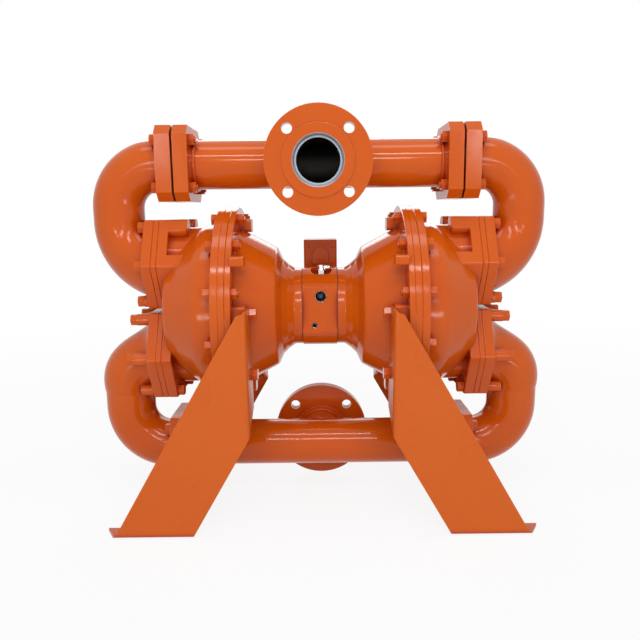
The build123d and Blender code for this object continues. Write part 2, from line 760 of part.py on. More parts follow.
def make_bushing():
    return (rod_x(bushing_radius, bushing_start_x, bushing_end_x, 0, axis_z)
            - rod_x(rod_radius, bushing_start_x, bushing_end_x, 0, axis_z))


def make_seal():
    x0 = bushing_end_x + seal_gap
    x1 = x0 + seal_thickness
    return rod_x(bushing_radius, x0, x1, 0, axis_z) - rod_x(rod_radius, x0, x1, 0, axis_z)


# Pilot valve
def make_pilot_sleeve():
    sleeve = rod_x(pilot_sleeve_radius, -block_half, block_half, pilot_y, axis_z + pilot_z)
    return sleeve - rod_x(pilot_spool_radius + running_gap, -block_half, block_half,
                          pilot_y, axis_z + pilot_z)


def make_pilot_spool():
    z = axis_z + pilot_z
    body = rod_x(pilot_pin_radius, -pilot_pin_tip_x, pilot_pin_tip_x, pilot_y, z)
    for x in (-block_half + pilot_land, 0, block_half - pilot_land):
        body += rod_x(pilot_spool_radius, x - pilot_land / 2, x + pilot_land / 2, pilot_y, z)
    return body


# Air distribution valve
valve_front_y = block_rear + valve_gasket
valve_mid_y = valve_front_y + valve_depth / 2
valve_rear_y = valve_front_y + valve_depth


def valve_slab(z0, z1):
    slab = block(valve_x - valve_half, valve_x + valve_half, valve_front_y, valve_rear_y,
                 axis_z + z0, axis_z + z1)
    return fillet(slab.edges().filter_by(Axis.Z), valve_corner)


def cap_screw_places():
    return [(valve_x + x, valve_mid_y + y) for x in (-cap_screw_x, cap_screw_x)
            for y in (-cap_screw_y, cap_screw_y)]


def make_valve_body():
    body = valve_slab(valve_bottom_z, valve_top_z)
    arch = rod_y(arch_radius, valve_front_y - arch_depth, valve_front_y + overlap,
                 valve_x, axis_z + arch_z)
    arch += block(valve_x - arch_radius, valve_x + arch_radius, valve_front_y - arch_depth,
                  valve_front_y + overlap, axis_z + arch_foot_z, axis_z + arch_z)
    body += arch
    body -= rod_z(valve_sleeve_radius, axis_z + valve_bottom_z, axis_z + valve_top_z,
                  valve_x, valve_mid_y)
    body -= rod_y(exhaust_radius, valve_rear_y - exhaust_depth, valve_rear_y,
                  valve_x, axis_z + exhaust_z)
    body -= rod_y(exhaust_passage_radius, valve_mid_y, valve_rear_y, valve_x, axis_z + exhaust_z)
    for z in (-air_inlet_z, 0, air_inlet_z):
        body -= rod_y(air_passage_radius, valve_front_y, valve_mid_y, valve_x, axis_z + z)
    for x, z in valve_screw_places():
        body -= rod_y(valve_screw_radius + fit_gap, valve_front_y, valve_rear_y, x, axis_z + z)
    for x, y in cap_screw_places():
        depth = cap_screw_depth + hole_spare
        for z0, z1 in ((valve_bottom_z, valve_bottom_z + depth), (valve_top_z - depth, valve_top_z)):
            body -= rod_z(cap_screw_radius, axis_z + z0, axis_z + z1, x, y)
    return body


def make_valve_cap(z0, z1, top):
    cap = valve_slab(z0, z1)
    cap = fillet(cap.faces().sort_by(Axis.Z)[-1 if top else 0].edges(), cap_edge_radius)
    seat_z = (z1 - cap_screw_head, z1) if top else (z0, z0 + cap_screw_head)
    for x, y in cap_screw_places():
        cap -= rod_z(cap_screw_radius + fit_gap, axis_z + z0, axis_z + z1, x, y)
        cap -= rod_z(cap_screw_radius + small_head_step + fit_gap,
                     axis_z + seat_z[0], axis_z + seat_z[1], x, y)
    return cap


def make_valve_sleeve():
    z0, z1 = axis_z + valve_bottom_z, axis_z + valve_top_z
    sleeve = rod_z(valve_sleeve_radius, z0, z1, valve_x, valve_mid_y)
    return sleeve - rod_z(valve_spool_radius + running_gap, z0, z1, valve_x, valve_mid_y)


def make_valve_spool():
    z0 = axis_z + valve_bottom_z + valve_spool_gap
    body = rod_z(valve_spool_core, z0, z0 + valve_spool_length, valve_x, valve_mid_y)
    pitch = (valve_spool_length - valve_spool_land) / (valve_spool_lands - 1)
    for k in range(valve_spool_lands):
        z = z0 + k * pitch
        body += rod_z(valve_spool_radius, z, z + valve_spool_land, valve_x, valve_mid_y)
    return body


def make_valve_gasket():
    plate = block(valve_x - valve_gasket_half_width, valve_x + valve_gasket_half_width,
                  block_rear, valve_front_y,
                  axis_z - valve_gasket_half_height, axis_z + valve_gasket_half_height)
    for z in (-air_inlet_z, 0, air_inlet_z):
        plate -= rod_y(air_passage_radius, block_rear, valve_front_y, valve_x, axis_z + z)
    for x, z in valve_screw_places():
        plate -= rod_y(valve_screw_radius + fit_gap, block_rear, valve_front_y, x, axis_z + z)
    return plate


def make_valve_screws():
    screws = []
    for x, z in valve_screw_places():
        shank = rod_y(valve_screw_radius, block_rear - air_passage_depth + hole_spare,
                      valve_rear_y, x, axis_z + z)
        screws.append(shank + rod_y(valve_screw_radius + small_head_step, valve_rear_y,
                                    valve_rear_y + valve_screw_head, x, axis_z + z))
    return screws


def make_cap_screws():
    screws = []
    reach = valve_cap - cap_screw_head + cap_screw_depth
    head_radius = cap_screw_radius + small_head_step
    top = axis_z + valve_top_z + valve_cap - cap_screw_head
    bottom = axis_z + valve_bottom_z - valve_cap + cap_screw_head
    for x, y in cap_screw_places():
        screws.append(rod_z(cap_screw_radius, top - reach, top, x, y)
                      + rod_z(head_radius, top, top + cap_screw_head, x, y))
        screws.append(rod_z(cap_screw_radius, bottom, bottom + reach, x, y)
                      + rod_z(head_radius, bottom - cap_screw_head, bottom, x, y))
    return screws


# Legs
def make_leg(side):
    """Leg of the right-hand pair; side is -1 at the front of the pump and 1 at its rear."""
    shoulder_x = leg_inner_x + leg_shoulder_width
    outer_foot_x = shoulder_x + leg_slope * leg_shoulder_z
    inner_foot_x = leg_inner_x + leg_slope * leg_knee_z
    y_face = -leg_front_y
    sheet = make_face(Plane.XZ * Polyline(
        (leg_inner_x, leg_top_z), (shoulder_x, leg_shoulder_z), (outer_foot_x, 0),
        (inner_foot_x, 0), (leg_inner_x, leg_knee_z), close=True))
    plate = extrude(Pos(0, y_face, 0) * sheet, leg_thickness, dir=(0, 1, 0))
    web_face = make_face(Plane.YZ * Polyline(
        (y_face, leg_top_z), (y_face + leg_web_top_depth, leg_top_z),
        (y_face + leg_web_depth, leg_web_foot_z), (y_face, leg_knee_z), close=True))
    web = extrude(Pos(leg_inner_x, 0, 0) * web_face, leg_thickness, dir=(1, 0, 0))
    foot_rear = y_face + foot_depth
    shift = leg_slope * foot_depth
    foot_face = make_face(Polyline(
        (inner_foot_x, y_face), (outer_foot_x, y_face), (outer_foot_x + shift, foot_rear),
        (inner_foot_x + shift, foot_rear), close=True))
    foot = extrude(foot_face, leg_thickness, dir=(0, 0, 1))
    body = plate + web + foot
    # Round the two outer bends
    bend_y = y_face + leg_bend_radius
    upright = block(leg_inner_x, leg_inner_x + leg_bend_radius, y_face, bend_y, 0, leg_top_z)
    upright -= rod_z(leg_bend_radius, 0, leg_top_z, leg_inner_x + leg_bend_radius, bend_y)
    low = block(0, outer_foot_x + shift, y_face, bend_y, 0, leg_bend_radius)
    low -= rod_x(leg_bend_radius, 0, outer_foot_x + shift, bend_y, leg_bend_radius)
    body = body - upright - low
    for z in mount_lug_z:
        body -= rod_x(bolt_hole_radius, leg_inner_x, leg_inner_x + leg_thickness,
                      -mount_lug_y, axis_z + z)
    return body if side < 0 else mirror(body, about=Plane.XZ)


# Groups of fasteners
def make_chamber_bolts():
    places = ring_points(chamber_bolt_circle, chamber_bolt_count, chamber_bolt_start)
    end_x = flange_back_x - nut_height - bolt_end_spare
    return [bolt_x(side * drum_start_x, side * end_x, y, axis_z + z)
            for side in (-1, 1) for y, z in places]


def make_chamber_nuts():
    places = ring_points(chamber_bolt_circle, chamber_bolt_count, chamber_bolt_start)
    return [nut_x(side * flange_back_x, -side, y, axis_z + z) for side in (-1, 1) for y, z in places]


def make_port_bolts():
    flange_x = seat_outer_x + elbow_flange_thickness
    end_x = port_face_x - port_bolt_grip + overlap
    bolts = []
    for side in (-1, 1):
        for sign in (-1, 1):
            for y, dz in port_corners():
                z = axis_z + sign * port_offset + dz
                if bolted_from_chamber(sign, dz):
                    bolts.append(bolt_x(side * (port_face_x - port_plate_thickness),
                                        side * (seat_outer_x + low_bolt_grip - hole_spare), y, z))
                else:
                    bolts.append(bolt_x(side * (flange_x + lug_reach(sign, dz)), side * end_x, y, z))
    return bolts


def manifold_places():
    return [(side, y, z + dz) for side in (-1, 1) for z in (suction_z, discharge_z)
            for y in (-plate_bolt_half, plate_bolt_half) for dz in (-plate_bolt_half, plate_bolt_half)]


def make_manifold_bolts():
    end_x = pipe_plate_x - nut_height - bolt_end_spare
    return [bolt_x(side * elbow_plate_x, side * end_x, y, z) for side, y, z in manifold_places()]


def make_manifold_nuts():
    return [nut_x(side * pipe_plate_x, -side, y, z) for side, y, z in manifold_places()]


def make_block_screws():
    screws = []
    for side in (-1, 1):
        for y, z in ring_points(block_screw_circle, 4, 45):
            inner = floor_x - screw_head_height
            shank = rod_x(bolt_radius, side * (block_half - block_screw_depth + hole_spare),
                          side * inner, y, axis_z + z)
            screws.append(shank + rod_x(screw_head_radius, side * inner, side * floor_x, y, axis_z + z))
    return screws


def make_leg_bolts():
    end_x = leg_inner_x + leg_thickness + mount_bolt_depth - hole_spare
    return [bolt_x(side * leg_inner_x, side * end_x, y, axis_z + z)
            for side in (-1, 1) for y in (-mount_lug_y, mount_lug_y) for z in mount_lug_z]


def make_manifold_gaskets():
    gaskets = []
    for side in (-1, 1):
        for z in (suction_z, discharge_z):
            x0, x1 = side * joint_x, side * (joint_x + manifold_gasket)
            ring = rod_x(pipe_radius + manifold_gasket_width, x0, x1, 0, z)
            gaskets.append(ring - rod_x(pipe_bore_radius, x0, x1, 0, z))
    return gaskets


def make_block_gaskets():
    gaskets = []
    for side in (-1, 1):
        x0, x1 = side * block_half, side * (block_half + block_gasket)
        sheet = rod_x(neck_radius - 1, x0, x1, 0, axis_z)
        sheet -= rod_x(neck_radius - neck_wall, x0, x1, 0, axis_z)
        for y, z in ring_points(block_screw_circle, 4, 45):
            sheet -= rod_x(bolt_hole_radius, x0, x1, y, axis_z + z)
        gaskets.append(sheet)
    return gaskets


def save(name, shape):
    solids = shape if isinstance(shape, list) else [shape]
    solids = [solid for piece in solids for solid in piece.solids()]
    export_step(solids[0] if len(solids) == 1 else Compound(children=solids), f"parts/{name}.step")


def save_pair(name, shape):
    save(f"right_{name}", shape)
    save(f"left_{name}", other_side(shape))


def main():
    discharge_port_z = axis_z + port_offset
    suction_port_z = axis_z - port_offset
    save("centre_block", make_centre_block())
    save("breather_fitting", make_breather())
    save_pair("inner_chamber", make_inner_chamber())
    save_pair("outer_chamber", make_outer_chamber())
    save_pair("diaphragm", make_diaphragm())
    save("diaphragm_rod", make_rod())
    save_pair("inner_plate", make_inner_plate())
    save_pair("outer_plate", make_outer_plate())
    save_pair("rod_bushing", make_bushing())
    seal = make_seal()
    save("rod_seals", [seal, other_side(seal)])
    save("pilot_sleeve", make_pilot_sleeve())
    save("pilot_spool", make_pilot_spool())
    save("air_valve_body", make_valve_body())
    save("air_valve_sleeve", make_valve_sleeve())
    save("air_valve_spool", make_valve_spool())
    save("air_valve_top_cap", make_valve_cap(valve_top_z, valve_top_z + valve_cap, True))
    save("air_valve_bottom_cap", make_valve_cap(valve_bottom_z - valve_cap, valve_bottom_z, False))
    save("air_valve_gasket", make_valve_gasket())
    save("air_valve_screws", make_valve_screws())
    save("air_valve_cap_screws", make_cap_screws())
    save("block_gaskets", make_block_gaskets())
    save("block_screws", make_block_screws())
    save("discharge_pipe", make_pipe(discharge_z, -1))
    save("suction_pipe", make_pipe(suction_z, 1))
    save("discharge_flange", make_round_flange(discharge_z, -1))
    save("suction_flange", make_round_flange(suction_z, 1))
    save_pair("discharge_end_plate", make_end_plate(discharge_z))
    save_pair("suction_end_plate", make_end_plate(suction_z))
    save_pair("discharge_elbow", make_elbow(discharge_horn_pairs(), tube_wall, discharge_z, 1))
    save_pair("suction_elbow", make_elbow(suction_horn_pairs(), hood_wall, suction_z, -1))
    pins = []
    for name, into, port_z in (("discharge", 1, discharge_port_z), ("suction", -1, suction_port_z)):
        save_pair(f"{name}_seat", make_seat(into, port_z))
        save_pair(f"{name}_flap", make_flap(into, port_z))
        pin = make_flap_pin(into, port_z)
        pins += [pin, other_side(pin)]
    save("flap_pins", pins)
    save("manifold_gaskets", make_manifold_gaskets())
    save("manifold_bolts", make_manifold_bolts())
    save("manifold_nuts", make_manifold_nuts())
    save("chamber_bolts", make_chamber_bolts())
    save("chamber_nuts", make_chamber_nuts())
    save("port_bolts", make_port_bolts())
    save_pair("front_leg", make_leg(-1))
    save_pair("rear_leg", make_leg(1))
    save("leg_bolts", make_leg_bolts())


main()
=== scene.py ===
"""Looks of an air operated diaphragm pump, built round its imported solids.

Lengths are in metres. X runs along the pump, Y points to its rear and Z points up.
"""

import logging
import math
from dataclasses import dataclass, field
from enum import Enum

import bmesh
import bpy
from mathutils import Matrix, Vector


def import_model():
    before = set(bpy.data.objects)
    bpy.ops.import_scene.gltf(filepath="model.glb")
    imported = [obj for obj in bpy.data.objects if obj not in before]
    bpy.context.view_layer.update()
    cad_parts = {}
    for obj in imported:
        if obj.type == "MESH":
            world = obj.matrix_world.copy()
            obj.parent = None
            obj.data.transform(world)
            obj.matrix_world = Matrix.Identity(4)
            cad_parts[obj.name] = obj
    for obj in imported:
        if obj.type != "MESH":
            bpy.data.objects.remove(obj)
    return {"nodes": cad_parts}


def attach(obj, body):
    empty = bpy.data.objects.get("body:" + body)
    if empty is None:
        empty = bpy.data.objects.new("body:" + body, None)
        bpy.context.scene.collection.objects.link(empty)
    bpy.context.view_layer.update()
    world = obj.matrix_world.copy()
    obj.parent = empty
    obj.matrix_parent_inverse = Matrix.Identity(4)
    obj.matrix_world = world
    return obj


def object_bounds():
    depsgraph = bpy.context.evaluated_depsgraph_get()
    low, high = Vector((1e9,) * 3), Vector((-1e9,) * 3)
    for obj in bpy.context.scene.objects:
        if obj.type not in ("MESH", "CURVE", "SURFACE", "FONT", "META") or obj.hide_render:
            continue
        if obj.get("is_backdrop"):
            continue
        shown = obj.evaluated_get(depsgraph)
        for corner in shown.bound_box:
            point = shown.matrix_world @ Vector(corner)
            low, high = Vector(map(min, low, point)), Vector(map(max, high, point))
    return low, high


log = logging.getLogger("pump")

CASING = "pump_casing"
ORIGIN = (0.0, 0.0, 0.0)
UPRIGHT = (0.0, 0.0, 1.0)
FULL_TURN = 2 * math.pi
MERGE_DISTANCE = 1e-7
FLOAT = "NodeSocketFloat"
VECTOR = "NodeSocketVector"

# Colours of bare pipe: the outer end, and the inner wall painted near black as shade
PIPE_END_GREY = (0.30, 0.33, 0.37)
PIPE_WALL_SHADE_BLACK = (0.045, 0.040, 0.036)


# Places that the looks share with the solids
class Axis(Enum):
    """Direction in which a turned piece points."""

    FRONT = (0.0, -1.0, 0.0)
    REAR = (0.0, 1.0, 0.0)
    RIGHT = (1.0, 0.0, 0.0)

    @property
    def vector(self) -> Vector:
        """Gives the direction as a vector."""
        return Vector(self.value)


@dataclass(frozen=True)
class Port:
    """One tapped port: radius of its wall, length of its thread, its mouth and its direction."""

    name: str
    radius: float
    length: float
    mouth: tuple
    axis: Axis


@dataclass(frozen=True)
class Manifold:
    """One header: its name, its height and the side that its branch points to."""

    name: str
    z: float
    towards: Axis


@dataclass(frozen=True)
class Layout:
    """Main places of the pump."""

    rod_z: float = 0.377
    discharge_z: float = 0.644
    suction_z: float = 0.102
    block_front_y: float = -0.062
    port_chamfer: float = 0.0012    # the front ports' walls start this far behind the block's front
    valve_x: float = 0.002
    valve_rear_y: float = 0.1395
    pipe_radius: float = 0.04445
    pipe_bore: float = 0.0415       # anything nearer to a pipe's axis is inside it
    flange_bore: float = 0.0457
    end_plate_x: float = 0.232
    hub_length: float = 0.006
    branch_weld_y: float = 0.0625   # where the round flange's hub ends on the branch
    branch_end_y: float = 0.0865    # just behind the bare end of the branch pipe

    @property
    def manifolds(self) -> tuple:
        """Both headers."""
        return (
            Manifold("discharge", self.discharge_z, Axis.FRONT),
            Manifold("suction", self.suction_z, Axis.REAR),
        )

    @property
    def ports(self) -> tuple:
        """The three tapped ports."""
        front = self.block_front_y + self.port_chamfer
        rear = self.valve_rear_y
        return (
            Port("air_inlet", 0.0105, 0.020, (0.0015, front, self.rod_z + 0.025), Axis.FRONT),
            Port("pilot_port", 0.0050, 0.014, (-0.010, front, self.rod_z - 0.029), Axis.FRONT),
            Port("exhaust", 0.0130, 0.0115, (self.valve_x, rear, self.rod_z + 0.018), Axis.REAR),
        )


# Shader trees
class Wiring:
    """Adds nodes to one shader tree and joins them."""

    def __init__(self, tree: bpy.types.NodeTree) -> None:
        """Takes the tree to add to.

        Args:
            tree: Shader tree of a material, a world or a group.
        """
        self.tree = tree

    def fill(self, node: bpy.types.Node, inputs: dict) -> None:
        """Fills inputs of a node.

        Args:
            node: The node.
            inputs: A socket or a plain value for each input, by name or by number.
        """
        for label, value in inputs.items():
            if isinstance(value, bpy.types.NodeSocket):
                self.tree.links.new(value, node.inputs[label])
            else:
                node.inputs[label].default_value = value

    def add(self, kind: str, inputs: dict | None = None, **settings: object) -> bpy.types.Node:
        """Adds a node.

        Args:
            kind: Node type, without the leading ShaderNode.
            inputs: A socket or a plain value for each input that isn't left alone.
            **settings: Properties of the node.

        Returns:
            The new node.
        """
        node = self.tree.nodes.new("ShaderNode" + kind)
        for key, value in settings.items():
            setattr(node, key, value)
        self.fill(node, inputs or {})
        return node

    def place(self) -> bpy.types.NodeSocket:
        """Gives the place on the object, in its own frame.

        Returns:
            The place's socket.
        """
        return self.add("TexCoord").outputs["Object"]

    def calculate(self, operation: str, *values: object, clamp: bool = False) -> bpy.types.NodeSocket:
        """Calculates with sockets and plain numbers.

        Args:
            operation: Name of the operation.
            *values: Its sockets or numbers, in order.
            clamp: Whether the result is kept from 0 to 1.

        Returns:
            The result's socket.
        """
        node = self.add("Math", dict(enumerate(values)), operation=operation, use_clamp=clamp)
        return node.outputs["Value"]

    def measure(self, operation: str, *vectors: bpy.types.NodeSocket) -> bpy.types.NodeSocket:
        """Gets a number from one or two vectors.

        Args:
            operation: Name of the operation.
            *vectors: Its vector sockets, in order.

        Returns:
            The number's socket.
        """
        return self.add("VectorMath", dict(enumerate(vectors)), operation=operation).outputs["Value"]

    def mask(self, value: bpy.types.NodeSocket, none_at: float, full_at: float) -> bpy.types.NodeSocket:
        """Turns a value into a mask.

        Args:
            value: Socket of the value.
            none_at: Level at which the mask is 0.
            full_at: Level at which the mask is 1.

        Returns:
            The mask's socket.
        """
        limits = {"Value": value, "From Min": none_at, "From Max": full_at}
        return self.add("MapRange", limits).outputs["Result"]

    def spread(self, mask: bpy.types.NodeSocket, low: float, high: float) -> bpy.types.NodeSocket:
        """Turns a mask into a value.

        Args:
            mask: Socket that goes from 0 to 1.
            low: Value where the mask is 0.
            high: Value where the mask is 1.

        Returns:
            The value's socket.
        """
        return self.add("MapRange", {"Value": mask, "To Min": low, "To Max": high}).outputs["Result"]

    def mix_colour(self, mask: bpy.types.NodeSocket, low: object, high: object) -> bpy.types.NodeSocket:
        """Mixes two colours by a mask.

        Args:
            mask: Socket that goes from 0 to 1.
            low: Colour or colour socket where the mask is 0.
            high: Colour or colour socket where the mask is 1.

        Returns:
            The mixed colour's socket.
        """
        inputs = {"Factor": mask}
        for label, colour in (("A", low), ("B", high)):
            inputs[label] = (*colour, 1.0) if isinstance(colour, tuple) else colour
        return self.add("Mix", inputs, data_type="RGBA").outputs["Result"]


class GroupMaker(Wiring):
    """Builds one shader node group with named inputs and outputs."""

    def __init__(self, name: str, inputs: dict[str, float], outputs: dict[str, str]) -> None:
        """Makes the empty group.

        Args:
            name: Name of the group.
            inputs: Input names and their default values.
            outputs: Output names and their socket types.
        """
        super().__init__(bpy.data.node_groups.new(name, "ShaderNodeTree"))
        for label, value in inputs.items():
            socket = self.tree.interface.new_socket(label, in_out="INPUT", socket_type=FLOAT)
            socket.default_value = value
        for label, kind in outputs.items():
            self.tree.interface.new_socket(label, in_out="OUTPUT", socket_type=kind)
        self.source = self.tree.nodes.new("NodeGroupInput")
        self.sink = self.tree.nodes.new("NodeGroupOutput")

    def take(self, label: str) -> bpy.types.NodeSocket:
        """Takes one of the group's inputs.

        Args:
            label: Name of the input.

        Returns:
            Its socket inside the group.
        """
        return self.source.outputs[label]

    def give(self, **results: bpy.types.NodeSocket) -> None:
        """Joins results to the group's outputs.

        Args:
            **results: A socket for each output, with underscores for spaces.
        """
        self.fill(self.sink, {label.replace("_", " "): socket for label, socket in results.items()})

    def noise(self, scale_label: str, detail: float = 2.0) -> bpy.types.NodeSocket:
        """Adds a noise over the object.

        Args:
            scale_label: Name of the group's input that sets its scale.
            detail: How many finer layers it has.

        Returns:
            The noise's socket.
        """
        inputs = {"Vector": self.place(), "Scale": self.take(scale_label), "Detail": detail}
        return self.add("TexNoise", inputs).outputs["Fac"]


# Shader node groups that several finishes share
def build_enamel_skin() -> bpy.types.NodeTree:
    """Sprayed enamel: slow waves of orange peel over a fine cast or rolled grain.

    Returns:
        A group that gives a height, a tone mask, a gloss mask and a mask of the recesses.
    """
    g = GroupMaker(
        "enamel_skin",
        {"Peel Scale": 220.0, "Grain Scale": 900.0, "Grain Share": 0.3, "Cloud Scale": 9.0,
         "Recess Reach": 0.016},
        {"Height": FLOAT, "Tone": FLOAT, "Dull": FLOAT, "Recess": FLOAT},
    )
    layers = {
        "Factor": g.take("Grain Share"),
        "A": g.noise("Peel Scale", detail=1.5),
        "B": g.noise("Grain Scale", detail=3.0),
    }
    height = g.add("Mix", layers, data_type="FLOAT")
    cloud = g.noise("Cloud Scale", detail=2.5)
    # Ambient occlusion: recesses and gaps between parts get a mask for painted shade
    shelter = g.add("AmbientOcclusion", {"Distance": g.take("Recess Reach")}, samples=4)
    g.give(
        Height=height.outputs["Result"],
        Tone=cloud,
        Dull=g.mask(cloud, none_at=0.42, full_at=0.75),
        Recess=g.mask(shelter.outputs["AO"], none_at=0.9, full_at=0.4),
    )
    return g.tree


def build_edge_bevel_and_highlight() -> bpy.types.NodeTree:
    """Rounded edges: a softened normal, and a mask that is high along edges, used to paint a highlight there.

    Returns:
        A group that gives a normal and a mask.
    """
    g = GroupMaker(
        "edge_bevel_and_highlight",
        {"Radius": 0.0012, "Gain": 4.0, "Break Up": 0.5, "Speck Scale": 60.0},
        {"Normal": VECTOR, "Mask": FLOAT},
    )
    soft = g.add("Bevel", {"Radius": g.take("Radius")}, samples=4).outputs["Normal"]
    flat = g.add("NewGeometry").outputs["Normal"]
    turn = g.calculate("SUBTRACT", 1.0, g.measure("DOT_PRODUCT", soft, flat))
    gain = g.calculate("MULTIPLY", turn, g.take("Gain"))
    broken = g.calculate("MULTIPLY", g.noise("Speck Scale"), g.take("Break Up"))
    g.give(Normal=soft, Mask=g.calculate("SUBTRACT", gain, broken, clamp=True))
    return g.tree


def build_lathe_marks() -> bpy.types.NodeTree:
    """Fine marks of turning or rolling, with a faint stain.

    Returns:
        A group that gives a height and a stain mask.
    """
    g = GroupMaker(
        "lathe_marks",
        {"Mark Scale": 260.0, "Mark Waver": 1.5, "Stain Scale": 30.0},
        {"Height": FLOAT, "Stain": FLOAT},
    )
    inputs = {"Vector": g.place(), "Scale": g.take("Mark Scale"), "Distortion": g.take("Mark Waver")}
    marks = g.add("TexWave", inputs, wave_type="RINGS", rings_direction="SPHERICAL")
    g.give(Height=marks.outputs["Fac"], Stain=g.noise("Stain Scale", detail=4.0))
    return g.tree


def build_bore_mask() -> bpy.types.NodeTree:
    """Inside of a header pipe along X and of its branch along Y.

    Returns:
        A group that gives a mask, 1 inside the bores, and the branch's share of it.
    """
    g = GroupMaker(
        "bore_mask",
        {"Centre Z": 0.0, "Towards": -1.0, "Radius": 0.0415, "Branch From": 0.02},
        {"Mask": FLOAT, "Branch Mask": FLOAT},
    )
    split = g.add("SeparateXYZ", {"Vector": g.place()})
    high = g.calculate("SUBTRACT", split.outputs["Z"], g.take("Centre Z"))

    def near(side: str) -> bpy.types.NodeSocket:
        """Marks what lies within the radius of an axis through the centre.

        Args:
            side: Direction that lies across the axis, besides the height.

        Returns:
            A socket that is 1 inside.
        """
        flat = g.add("CombineXYZ", {"X": split.outputs[side], "Y": high})
        reach = g.measure("LENGTH", flat.outputs["Vector"])
        return g.calculate("LESS_THAN", reach, g.take("Radius"))

    along = g.calculate("MULTIPLY", split.outputs["Y"], g.take("Towards"))
    out = g.calculate("GREATER_THAN", along, g.take("Branch From"))
    branch = g.calculate("MULTIPLY", near("X"), out)
    g.give(Mask=g.calculate("MAXIMUM", near("Y"), branch), Branch_Mask=branch)
    return g.tree


@dataclass
class Groups:
    """The shared groups, each made once."""

    enamel: bpy.types.NodeTree = field(default_factory=build_enamel_skin)
    edges: bpy.types.NodeTree = field(default_factory=build_edge_bevel_and_highlight)
    lathe: bpy.types.NodeTree = field(default_factory=build_lathe_marks)
    bore: bpy.types.NodeTree = field(default_factory=build_bore_mask)


# Finishes
class Recipe(Wiring):
    """One material under construction."""

    def __init__(self, name: str) -> None:
        """Makes a material with a bare surface shader.

        Args:
            name: Name of the material.
        """
        self.material = bpy.data.materials.new(name)
        self.material.use_nodes = True
        super().__init__(self.material.node_tree)
        self.surface = self.tree.nodes["Principled BSDF"]

    def group(self, tree: bpy.types.NodeTree, **values: float) -> bpy.types.Node:
        """Places a shared group with its own values.

        Args:
            tree: The shared group.
            **values: Input values, with underscores for spaces.

        Returns:
            The group's node.
        """
        node = self.add("Group", node_tree=tree)
        self.fill(node, {label.replace("_", " "): value for label, value in values.items()})
        return node

    def coat(self, **inputs: object) -> None:
        """Fills the surface's inputs.

        Args:
            **inputs: A socket or a plain value for each input, with underscores for spaces.
        """
        self.fill(self.surface, {label.replace("_", " "): value for label, value in inputs.items()})

    def bump(self, height: bpy.types.NodeSocket, distance: float,
             normal: bpy.types.NodeSocket | None = None) -> None:
        """Feeds a height into the surface's normal.

        Args:
            height: Height socket.
            distance: Depth of the relief in metres.
            normal: Normal to start from, if it isn't the plain one.
        """
        inputs = {"Height": height, "Distance": distance, "Strength": 1.0}
        if normal is not None:
            inputs["Normal"] = normal
        self.coat(Normal=self.add("Bump", inputs).outputs["Normal"])


@dataclass(frozen=True)
class Bore:
    """Unpainted inside of a pipe and its branch; in the pipes its colour is painted near black as shade."""

    centre_z: float
    towards: float
    radius: float
    colour: tuple
    end_from: float
    end_radius: float = 0.046
    end_colour: tuple = PIPE_END_GREY
    roughness: float = 0.5

    def strip(self, recipe: Recipe, groups: Groups, paint: bpy.types.NodeSocket, gloss: float) -> None:
        """Coats a surface with paint outside the bore and leaves it bare inside.

        Args:
            recipe: The material under construction.
            groups: The shared groups.
            paint: Colour of the paint.
            gloss: Roughness of the paint.
        """
        centre = {"Centre_Z": self.centre_z, "Towards": self.towards}
        inside = recipe.group(groups.bore, Radius=self.radius, **centre).outputs["Mask"]
        end = recipe.group(groups.bore, Radius=self.end_radius, Branch_From=self.end_from, **centre)
        bare = recipe.mix_colour(inside, paint, self.colour)
        recipe.coat(
            Base_Color=recipe.mix_colour(end.outputs["Branch Mask"], bare, self.end_colour),
            Roughness=recipe.spread(inside, gloss, self.roughness),
            Metallic=inside,
        )


@dataclass(frozen=True)
class Enamel:
    """Glossy orange enamel over a cast or rolled surface, with painted shade in its recesses and a painted
    highlight along its edges.
    """

    name: str
    colour: tuple = (0.61, 0.108, 0.004)
    shade: tuple = (0.59, 0.080, 0.004)
    # lighter yellowish orange painted along edges as highlight
    edge_highlight: tuple = (0.80, 0.28, 0.04)
    # dark red painted into recesses as shade
    painted_recess_shade: tuple = (0.42, 0.030, 0.003)
    relief: float = 0.00006
    grain_share: float = 0.3
    edge_radius: float = 0.0014
    gloss: tuple = (0.09, 0.20)
    mirror_level: float = 0.26
    bore: Bore | None = None

    def build(self, groups: Groups) -> bpy.types.Material:
        """Makes the material.

        Args:
            groups: The shared groups.

        Returns:
            The finished material.
        """
        recipe = Recipe(self.name)
        skin = recipe.group(groups.enamel, Grain_Share=self.grain_share)
        rounding_and_highlight = recipe.group(groups.edges, Radius=self.edge_radius)
        tone = recipe.mix_colour(skin.outputs["Tone"], self.shade, self.colour)
        # painted shade: dark red where ambient occlusion finds recesses
        tone = recipe.mix_colour(skin.outputs["Recess"], tone, self.painted_recess_shade)
        # painted highlight: convex and concave edges turn lighter
        paint = recipe.mix_colour(rounding_and_highlight.outputs["Mask"], tone, self.edge_highlight)
        if self.bore is None:
            recipe.coat(Base_Color=paint, Roughness=recipe.spread(skin.outputs["Dull"], *self.gloss))
        else:
            self.bore.strip(recipe, groups, paint, self.gloss[0])
        recipe.bump(skin.outputs["Height"], self.relief, rounding_and_highlight.outputs["Normal"])
        recipe.coat(Specular_IOR_Level=self.mirror_level)
        return recipe.material


